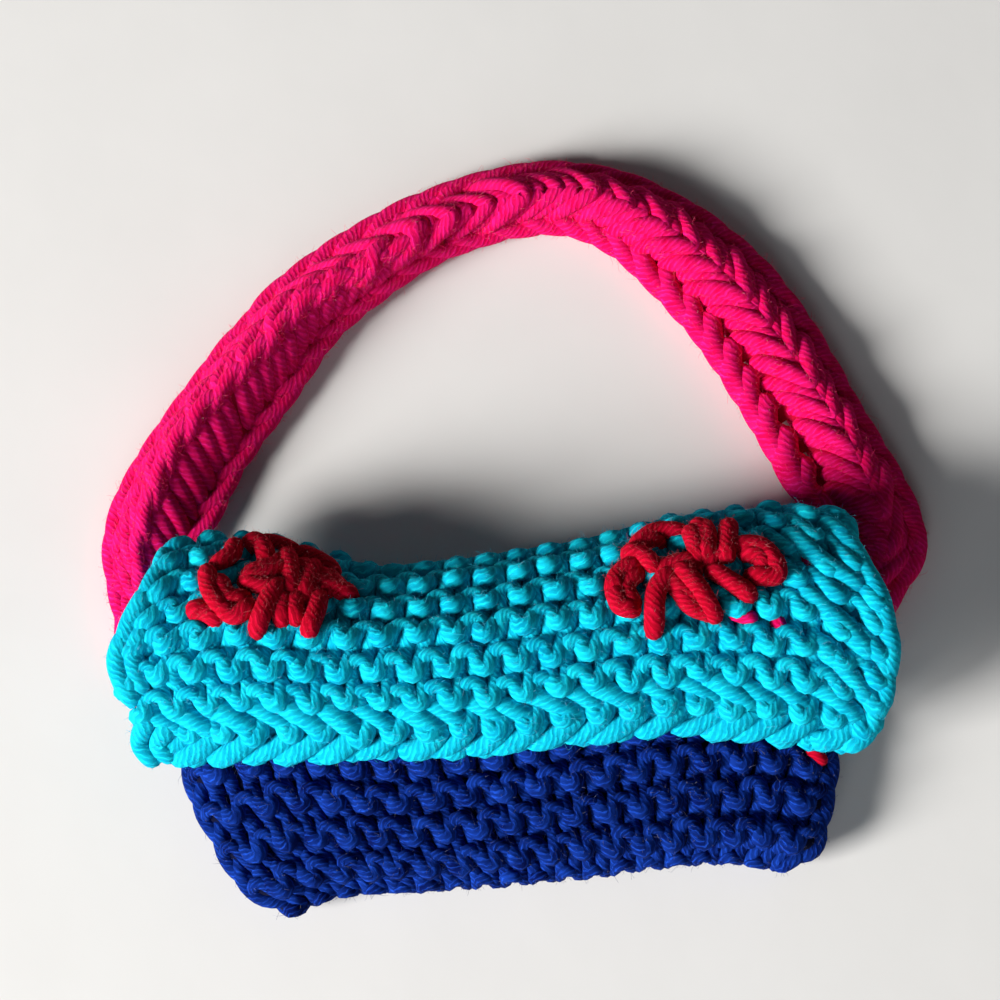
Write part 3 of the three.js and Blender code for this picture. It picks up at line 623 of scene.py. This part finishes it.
# Flowers: red yarn stitches on the flap, each bent through three places
flowers = {
    "yarn": 2.6, "seat": 1.95, "sink": 2.5,
    "fuzz": {"count": 2000, "length": 0.7, "radius": 0.018},
    "flower_left": {"across": -29.9, "up": 21.6, "stitches": columns("fromX fromY byX byY toX toY over", [
        (-8.7, 3.7, -7.9, 0.2, -6.0, -2.6, 0.6), (-6.3, -2.2, -4.5, -3.3, -2.3, -2.0, 0.5),
        (-5.7, 7.6, -5.9, 5.8, -7.9, 3.7, 0.2), (-10.1, -1.5, -8.4, -2.2, -6.6, -3.6, -0.3),
        (-4.0, 7.8, -2.5, 7.1, -1.2, 4.1, 0.4), (-2.8, 7.8, -0.2, 7.6, 2.3, 6.5, 0.1),
        (1.8, 6.8, 4.6, 6.0, 7.4, 4.2, 0.2), (3.9, 2.1, 6.8, 1.3, 10.1, 0.5, 0.3),
        (0.7, 1.1, -0.6, -1.9, -1.8, -5.2, 0.6), (1.3, -0.8, 1.3, -2.2, 1.3, -3.9, 0.2),
        (2.7, -0.8, 2.8, -2.2, 3.0, -3.6, 0.3), (5.8, 0.2, 5.4, -2.8, 4.7, -5.3, 0.3),
        (-4.0, 1.6, -1.5, 2.2, 1.8, 4.2, 0.4), (0.6, 6.5, 1.8, 2.5, 2.0, -0.8, 0.6),
        (4.5, 5.1, 4.1, 1.7, 3.8, -1.1, 0.5), (-4.0, 1.6, -1.8, 0.5, 1.0, 0.5, 0.3),
        (5.3, 3.9, 6.6, 1.9, 6.0, -0.2, 0.1), (2.7, 5.1, 4.5, 2.0, 5.1, -0.1, 0.3),
        (6.1, 3.8, 7.5, 2.1, 8.3, 0.9, 0.1), (1.5, 2.0, 3.5, 0.9, 5.8, 0.4, 0.0),
        (-0.9, 0.3, 1.8, -0.1, 4.2, -0.1, 0.0), (-3.9, 2.5, -1.3, 3.4, 1.0, 5.6, 0.1),
        (-7.3, 2.0, -5.6, -0.9, -3.2, -1.1, 0.2)])},
    "flower_right": {"across": 23.0, "up": 20.8, "stitches": columns("fromX fromY byX byY toX toY over", [
        (-5.9, 1.2, -8.8, -0.3, -9.4, -2.2, 0.3), (-9.4, -1.7, -8.8, -3.8, -7.0, -4.4, 0.3),
        (-7.3, 2.5, -5.5, 1.5, -3.8, -0.3, 0.7), (-6.6, 3.0, -3.6, 5.0, 0.6, 4.4, 0.1),
        (0.6, 4.5, 1.2, 2.0, 1.4, 0.4, 0.6), (2.5, 5.3, 2.9, 2.4, 1.9, 0.7, 0.7),
        (5.7, 5.3, 5.2, 2.7, 4.8, 0.4, 0.6), (6.0, 2.4, 9.1, 2.3, 11.0, 0.9, 0.2),
        (10.7, 1.3, 11.0, -0.8, 7.6, -1.2, 0.4), (2.7, -0.7, 5.2, -2.1, 7.8, -3.5, 0.6),
        (-1.4, -0.3, 0.9, -2.7, 3.3, -6.1, 0.8), (-1.9, -2.4, 0.2, -4.7, 2.9, -5.7, 0.2),
        (-1.9, -0.5, -4.1, -2.8, -4.7, -7.6, 0.5), (-4.2, -0.4, -1.6, 0.2, 1.4, 0.5, 0.2),
        (2.4, 0.0, 3.6, 0.9, 5.0, 1.0, 0.1), (-6.1, 0.2, -7.8, -1.8, -7.0, -4.2, 0.0),
        (-6.7, 2.6, -5.1, 3.3, -3.1, 4.0, 0.0), (1.6, 5.6, 2.3, 3.3, 1.8, 1.1, 0.5),
        (7.0, 1.6, 9.1, 1.1, 9.7, -0.5, 0.0), (-3.3, -1.2, -0.7, -0.4, 1.7, -0.4, 0.0),
        (-2.8, -0.9, -0.9, -2.8, 1.5, -4.6, 0.2)])},
}
for name in ("flower_left", "flower_right"):
    spot = flowers[name]
    middle = spot["across"], spot["up"]
    strands = laidStitches(spot["stitches"], middle, flowers["seat"], flowers["sink"], flowers["yarn"])
    yarn = spin(name + "_yarn", strands, 10, finishes["red"])
    hair = raiseFuzz(name + "_fuzz", strands, flowers["fuzz"], hairs["red"])
    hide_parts(name)


# Pouch: navy, one strip from the front of the mouth down, round the bottom and up the back
pouch = {
    "sides": columns("down left right crown", [
        (0.0, -43.8, 43.8, 13.0), (0.35, -44.2, 44.2, 11.6), (0.5, -43.6, 44.6, 10.6), (0.62, -42.3, 44.4, 10.0),
        (0.74, -39.8, 43.6, 9.4), (0.86, -37.4, 42.8, 8.8), (0.96, -34.0, 41.6, 8.0), (1.0, -30.9, 39.2, 7.6)]),
    "bottom": columns("across y", [
        (-1.0, -26.4), (-0.8, -23.6), (-0.5, -22.6), (0.0, -21.2), (0.5, -19.3), (0.75, -18.9), (1.0, -20.3)]),
    "mouthBehindFold": 9.5, "seamHeight": 6.8, "seamLevel": 3.4, "inset": 1.5, "edgeRound": 2.6,
    "crownPower": 3, "halfWall": 1.6, "backHeight": 2.15, "seamPart": 0.9, "width": 82.0,
    "stitches": 18, "rowStep": 2.2, "ridgeFromBottom": 4.6, "yarn": 2.1,
    "sideEdge": {"inset": 0.004, "start": 1.2, "reach": 1.3, "stand": 1.0, "lift": -0.4, "yarn": 2.3, "points": 16},
    "fuzz": {"count": 12500, "length": 0.8, "radius": 0.021},
}


def pouchCloth():
    us, strip = np.linspace(0, 1, 121), np.linspace(0, 1, 321)
    ease = 0.5 - 0.5 * np.cos(np.linspace(0, math.pi, 90))
    v = 1 - np.concatenate([np.linspace(0, 0.8, 60)[:-1], 0.8 + 0.2 * ease])
    place = np.zeros((len(us), len(strip), 3))
    for i, u in enumerate(us):
        across, inset = 2 * u - 1, pouch["inset"]
        left = follow(pouch["sides"], "down", "left", 1 - v) + inset
        right = follow(pouch["sides"], "down", "right", 1 - v) - inset
        mouth = float(follow(flap["ends"], "across", "fold", across)) - pouch["mouthBehindFold"]
        bottom = float(follow(pouch["bottom"], "across", "y", across)) + inset
        crown = follow(pouch["sides"], "down", "crown", 1 - v)
        top = pouch["seamHeight"] + (crown - pouch["seamHeight"]) * (1 - abs(across) ** pouch["crownPower"])
        openBottom = roundOff(v * (mouth - bottom), pouch["edgeRound"])
        openUp = roundOff(min(u, 1 - u) * (right - left), pouch["edgeRound"]) * openBottom
        part = pouch["seamPart"] * openBottom
        seam = pouch["seamLevel"]
        x, y = left + (right - left) * u, mouth * v + bottom * (1 - v)
        front = seam + part + (top - pouch["halfWall"] - seam - part) * openUp
        back = seam - part - (seam - part - pouch["backHeight"]) * openUp
        line = np.concatenate([np.stack([x, y, front], axis=1), np.stack([x, y, back], axis=1)[::-1][1:]])
        place[i] = evenly(line, strip)
    return clothFrom(place, -1)


pouchSheet = pouchCloth()
pouchMiddle = middleLine(pouchSheet)
pouch["length"] = lengthAlong(pouchMiddle)[-1]
pouch["bottomAt"] = lengthAlong(pouchMiddle)[np.argmin(pouchMiddle[:, 1])]
print("pouch strip", round(pouch["length"], 1), "mm, bottom at", round(pouch["bottomAt"], 1))
ridge = pouch["bottomAt"] - pouch["ridgeFromBottom"]
firstRow = ridge - pouch["rowStep"] / 2 - 2 * pouch["rowStep"] * math.floor((ridge - 2.5) / (2 * pouch["rowStep"]))
pouchRows = np.arange(firstRow, pouch["length"] - 1.0, pouch["rowStep"])
pouchStrands = [knitRows(pouchSheet, {
    **garter, "rows": pouchRows, "stitches": pouch["stitches"], "from": 0.02, "to": 0.98, "firstFacing": 0,
    "loop": 2.1, "depth": 1.1, "lean": 0.12, "drop": 0.0, "headSpread": 0.1, "footSpread": 0.45, "pull": -0.14,
    "width": pouch["width"], "length": pouch["length"], "turn": 1.0, "yarn": pouch["yarn"], "pointsPerStitch": 18})]

# the sewn sides
pouchStrands += edgeLoops(pouchSheet, pouch, range(int(pouch["bottomAt"] / (2 * pouch["rowStep"]))))

pouchYarn = spin("pouch_yarn", pouchStrands, 8, finishes["navy"], floor=0.0)
pouchHair = raiseFuzz("pouch_fuzz", pouchStrands, pouch["fuzz"], hairs["navy"])


def pouchRelief(v):
    return 0.5 * np.cos(2 * math.pi * (v * pouch["length"] - ridge) / (2 * pouch["rowStep"]))


pouchGround = layGround("pouch_ground", pouchSheet, grounds["navy"], (44, 120), pouchRelief)
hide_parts("pouch")


# Strap: cerise, a narrow band with a column of V stitches between two rope-like edges
strap = {
    "sections": columns("x y width crest rise", [
        (-47.8, 8.5, 5.6, 0.5, 1.6), (-48.6, 13.0, 7.4, 0.5, 2.0), (-49.0, 17.5, 9.4, 0.45, 2.4),
        (-48.4, 22.6, 12.6, 0.38, 4.2), (-45.9, 28.8, 13.8, 0.33, 6.2), (-40.9, 37.9, 12.6, 0.3, 7.2),
        (-34.4, 47.3, 12.4, 0.42, 7.2), (-27.7, 56.2, 10.8, 0.52, 7.0), (-20.4, 62.3, 10.0, 0.68, 6.8),
        (-12.9, 67.2, 8.8, 0.74, 6.6), (-5.2, 70.4, 8.8, 0.7, 6.6), (2.0, 72.2, 8.8, 0.62, 6.6),
        (9.4, 72.3, 8.8, 0.55, 6.4), (16.2, 70.0, 10.8, 0.48, 5.8), (22.9, 65.5, 13.2, 0.44, 5.0),
        (29.1, 59.7, 14.6, 0.42, 4.4), (34.2, 53.1, 15.0, 0.4, 4.2), (38.9, 45.0, 14.8, 0.34, 4.4),
        (43.3, 37.0, 14.4, 0.3, 4.6), (47.5, 29.6, 14.6, 0.36, 4.0), (50.1, 23.6, 13.8, 0.4, 3.2),
        (48.9, 18.0, 9.0, 0.45, 2.4), (48.0, 13.5, 6.0, 0.5, 2.0), (47.3, 9.0, 4.8, 0.5, 1.6)]),
    "rest": 1.2, "riseTrim": 0.6, "edgeInset": 1.2, "creasePower": 1.3,
    "pitch": 5.0, "yarn": 2.45, "under": 0.55, "ropeRoom": 2.5, "narrowest": 1.3,
    "link": columns("ahead across height", [  # across is a share of the room beside the crest
        (-1.24, 1.0, -1.1), (-1.14, 0.95, 0.0), (-0.95, 0.8, 0.4), (-0.6, 0.5, 0.5), (-0.24, 0.2, 0.4),
        (0.04, 0.0, 0.0),
        (-0.24, -0.16, 0.4), (-0.68, -0.46, 0.6), (-1.0, -0.76, 0.5), (-1.14, -0.96, 0.3), (-1.02, -1.1, -0.3),
        (-0.8, -1.16, -1.1)]),
    "rope": columns("ahead across height", [
        (-1.1, 2.2, -1.0), (-0.8, 1.2, 0.0), (-0.35, 0.3, 0.5), (0.25, 0.0, 0.5), (0.75, 0.4, 0.1), (1.1, 1.5, -0.9)]),
    "shade": columns("ahead across height", [  # stitches of the shaded side, across as a share from crest to rope
        (0.4, 0.06, -1.6), (0.3, 0.16, -0.5), (0.15, 0.35, -0.2), (-0.1, 0.65, -0.2), (-0.35, 0.92, -0.5),
        (-0.45, 1.0, -1.6)]),
    "shadeEnd": 0.42, "shadeYarn": 3.0, "crestYarn": 2.2, "holeWidth": 1.8, "holeFrom": 0.15, "holeTo": 0.5,
    "along": columns("share inner outer lift shift arm", [  # ropes' thickness, inner rope's lift, V column's shift and arm
        (0.0, 2.6, 2.8, 0.0, 2.2, 2.8), (0.28, 2.6, 3.1, 0.0, 2.2, 2.8), (0.38, 2.6, 3.0, 0.0, 1.0, 2.8),
        (0.46, 2.7, 2.9, 0.0, 0.0, 3.6), (0.54, 2.9, 2.8, 0.2, 0.0, 4.5), (0.68, 3.4, 2.7, 0.4, 0.0, 4.5),
        (0.85, 3.8, 2.6, 1.1, 0.0, 4.5), (1.0, 3.2, 2.6, 0.5, 0.0, 4.5)]),
    "fuzz": {"count": 12000, "length": 0.9, "radius": 0.021},
}


def strapCloth():
    table = strap["sections"]
    t = np.linspace(0, 1, 481)
    line = smoothLine(np.stack([table["x"], table["y"], 0 * table["x"]], axis=1), t)
    shape = smoothLine(np.stack([table["width"], table["crest"], table["rise"]], axis=1), t)
    along = lengthAlong(line)
    share = np.interp(np.linspace(0, along[-1], len(t)), along, t)
    line = np.stack([np.interp(share, t, line[:, c]) for c in range(3)], axis=1)
    shape = np.stack([np.interp(share, t, shape[:, c]) for c in range(3)], axis=1)
    ahead = np.gradient(line, axis=0)
    ahead /= np.linalg.norm(ahead, axis=1, keepdims=True)
    inner = np.stack([ahead[:, 1], -ahead[:, 0], 0 * ahead[:, 0]], axis=1)
    u = np.linspace(0, 1, 61)
    place, ridgeAt = np.zeros((len(u), len(t), 3)), np.zeros(len(t))
    for j, (width, crest, rise) in enumerate(shape):
        width -= 2 * strap["edgeInset"] * min(1, width / 12)
        lean = np.where(u < crest, 1 - u / crest, (u - crest) / (1 - crest))
        section = line[j] + inner[j] * ((u - 0.5) * width)[:, None]
        section[:, 2] = strap["rest"] + max(0.4, rise - strap["riseTrim"]) * (1 - lean ** strap["creasePower"])
        ridgeAt[j] = np.interp(crest, u, lengthAlong(section) / lengthAlong(section)[-1])
        place[:, j] = evenly(section, u)
    return clothFrom(place), along[-1], ridgeAt


strapSheet, strap["length"], strapRidge = strapCloth()
strapWide = np.linalg.norm(np.diff(strapSheet["place"], axis=0), axis=2).sum(axis=0)
print("strap", round(strap["length"], 1), "mm long,", strapWide.min().round(1), "to", strapWide.max().round(1), "wide")
strapCount = int(strap["length"] / strap["pitch"])


def strapAlong(column, v):
    return follow(strap["along"], "share", column, v)


def strapRoom(v):  # the strap's width and crest, the V column's middle and the room for its arms on both sides
    steps = np.linspace(0, 1, len(strapWide))
    wide, crest = np.interp(v, steps, strapWide), np.interp(v, steps, strapRidge)
    middle, arm = crest - strapAlong("shift", v) / wide, strapAlong("arm", v)
    rooms = (np.clip(side * wide - strap["ropeRoom"], strap["narrowest"], arm) for side in (middle, 1 - middle))
    return wide, crest, middle, *rooms


# the V stitches
strapStrands = []
ahead, across, height = shaped(strap["link"], 56)
for k in range(2 * strapCount + 2):  # every second one lies lower, between its neighbours
    at = strap["pitch"] * (k / 2 + 0.6 + 0.05 * chance.standard_normal())
    v = np.clip((at + ahead * strap["pitch"]) / strap["length"], 0, 1)
    wide, _, middle, outer, inner = strapRoom(v)
    reach = across * (1 + 0.06 * chance.standard_normal())
    u = middle - reach * np.where(across > 0, outer, inner) / wide
    over = 0.1 + height + 0.15 * chance.standard_normal() - strap["under"] * (k % 2)
    thick = strap["yarn"] / 2 * (1 + 0.06 * chance.standard_normal())
    strapStrands.append(strand(strapSheet, u, v, over, thick, 2))

# the stitches of the shaded side
ahead, across, height = shaped(strap["shade"], 24)
for k in range(int(2 * strap["shadeEnd"] * strapCount)):
    at = strap["pitch"] * (k / 2 + 0.6 + 0.05 * chance.standard_normal())
    v = np.clip((at + ahead * strap["pitch"]) / strap["length"], 0, 1)
    wide, crest = strapRoom(v)[:2]
    u = crest + across * (1 - crest - strap["ropeRoom"] / wide)
    strapStrands.append(strand(strapSheet, u, v, height + 0.1 * chance.standard_normal(), strap["shadeYarn"] / 2, 2))

# the ropes along the crest and the two edges
ahead, across, height = shaped(strap["rope"], 22)
for k in range(int(strap["shadeEnd"] * strapCount)):  # along the crest, above the shaded side
    at = strap["pitch"] * (k + 0.75 + 0.05 * chance.standard_normal())
    v = np.clip((at + ahead * strap["pitch"]) / strap["length"], 0, 1)
    wide, crest = strapRoom(v)[:2]
    strapStrands.append(strand(strapSheet, crest + 0.6 * across / wide, v, height + 0.25, strap["crestYarn"] / 2, 2))
for side, rope in ((1, "outer"), (-1, "inner")):
    for k in range(strapCount):
        at = strap["pitch"] * (k + 0.5 + 0.05 * chance.standard_normal())
        v = np.clip((at + ahead * strap["pitch"]) / strap["length"], 0, 1)
        wide = strapRoom(v)[0]
        thick, lift = strapAlong(rope, v), strapAlong("lift", v)
        u = 0.5 - side * (0.5 - (thick / 2 - 0.85 + across) / wide)
        over = 0.2 + (lift if rope == "inner" else 0)
        strapStrands.append(strand(strapSheet, u, v, over + height, thick / 2, 2))

strapYarn = spin("strap_yarn", strapStrands, 10, finishes["cerise"], floor=0.0)
strapHair = raiseFuzz("strap_fuzz", strapStrands, strap["fuzz"], hairs["cerise"])


def strapHole(u, v):  # the gaps beside the edge ropes
    wide = strapRoom(v)[0]
    gaps = (strapAlong("outer", v) - 0.2) / wide, 1 - (strapAlong("inner", v) - 0.2) / wide
    beside = min(abs(u - gap) for gap in gaps) * wide < strap["holeWidth"] / 2
    return beside and strap["holeFrom"] < (v * strap["length"] / strap["pitch"]) % 1 < strap["holeTo"]


strapGround = layGround("strap_ground", strapSheet, grounds["cerise"], (30, 352), lambda v: 0 * v + 0.3, strapHole)
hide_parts("strap")


# Sewing: two red stitches at the sides and three places where the strap's yarn shows through the flap
sewing = {
    "yarn": 1.6, "glimpseYarn": 2.1, "side": (40.4, -5.2), "reach": 0.9,
    "red": columns("fromX fromY byX byY toX toY over", [(-46.9, 8.5, -46.5, 7.9, -45.8, 7.3, 0.0)]),
    "glimpses": columns("fromX fromY byX byY toX toY over", [
        (28.5, 15.5, 29.8, 15.2, 31.0, 15.0, 0.0), (34.2, 15.0, 34.5, 14.4, 34.8, 13.6, -0.9),
        (38.3, 23.8, 38.6, 23.1, 38.9, 22.3, -0.8)]),
}
redStrands = laidStitches(sewing["red"], (0, 0), 1.2, 0.6, sewing["yarn"])
grid = pouchSheet["place"]
front = grid[:, : int(grid.shape[1] * pouch["bottomAt"] / pouch["length"])]
i, j = np.unravel_index(np.argmin(np.linalg.norm(front[:, :, :2] - sewing["side"], axis=2)), front.shape[:2])
t = np.linspace(-1, 1, 14)
u = i / (grid.shape[0] - 1) + t * sewing["reach"] / pouch["width"]
v = j / (grid.shape[1] - 1) + t * 0.6 * sewing["reach"] / pouch["length"]
redStrands.append(strand(pouchSheet, u, v, 2.0 - 1.2 * t**2, sewing["yarn"] / 2, 2))
redSewing = spin("red_sewing", redStrands, 10, finishes["red"])
glimpseStrands = laidStitches(sewing["glimpses"], (0, 0), 1.1, 1.0, sewing["glimpseYarn"])
glimpses = spin("cerise_sewing", glimpseStrands, 10, finishes["cerise"])


# Each cloth's size when laid flat
def flatSize(sheet):  # mean width and mean length
    place = sheet["place"]
    return [float(np.linalg.norm(np.diff(place, axis=way), axis=2).sum(axis=way).mean()) * mm for way in (0, 1)]


for name, sheet in (("flap", flapSheet), ("pouch", pouchSheet), ("strap", strapSheet)):
    print(name, "laid flat", *(round(size / mm, 1) for size in flatSize(sheet)), "mm")


# Floor, camera and light
stage = {"floorSize": 6.0, "floorColour": (0.70, 0.695, 0.685), "floorWarm": (0.75, 0.745, 0.735)}
floorMesh = bpy.data.meshes.new("floor")
half = stage["floorSize"] / 2
floorMesh.from_pydata([(-half, -half, 0), (half, -half, 0), (half, half, 0), (-half, half, 0)], [], [(0, 1, 2, 3)])
floor = bpy.data.objects.new("floor", floorMesh)
bpy.context.scene.collection.objects.link(floor)
floorMesh.materials.append(cloudFinish("floorPaper", stage["floorColour"], stage["floorWarm"], 40.0, 0.0))

view = {"target": (-1.0, 30.0, 0.0), "distance": 290.0, "elevation": 80.0, "lens": 76.2}
tilt = math.radians(view["elevation"])
camera = bpy.data.objects.new("camera", bpy.data.cameras.new("camera"))
camera.location = (Vector(view["target"]) - view["distance"] * Vector((0, math.cos(tilt), -math.sin(tilt)))) * mm
camera.rotation_euler = (math.radians(90) - tilt, 0, 0)
camera.data.lens = view["lens"]
camera.data.clip_start = 0.01
bpy.context.scene.collection.objects.link(camera)
bpy.context.scene.camera = camera

lights = {
    "key": {"at": (-1.235, -0.54, 0.658), "size": 0.53, "power": 50.0, "colour": (1.0, 0.98, 0.95)},
    "fill": {"at": (-0.1, -0.65, 0.4), "size": 0.5, "power": 1.8, "colour": (0.94, 0.96, 1.0)},
}
for name, lamp in lights.items():
    light = bpy.data.lights.new(name, "AREA")
    light.size, light.energy, light.color = lamp["size"], lamp["power"], lamp["colour"]
    holder = bpy.data.objects.new(name, light)
    holder.location = lamp["at"]
    holder.rotation_euler = (Vector((0, 0.02, 0)) - Vector(lamp["at"])).to_track_quat("-Z", "Y").to_euler()
    bpy.context.scene.collection.objects.link(holder)
world = bpy.data.worlds.new("room")
world.use_nodes = True
world.node_tree.nodes["Background"].inputs["Color"].default_value = (0.9, 0.95, 1.0, 1)
world.node_tree.nodes["Background"].inputs["Strength"].default_value = 0.06
bpy.context.scene.world = world
bpy.context.scene.view_settings.view_transform = "Standard"
print("stage ready")
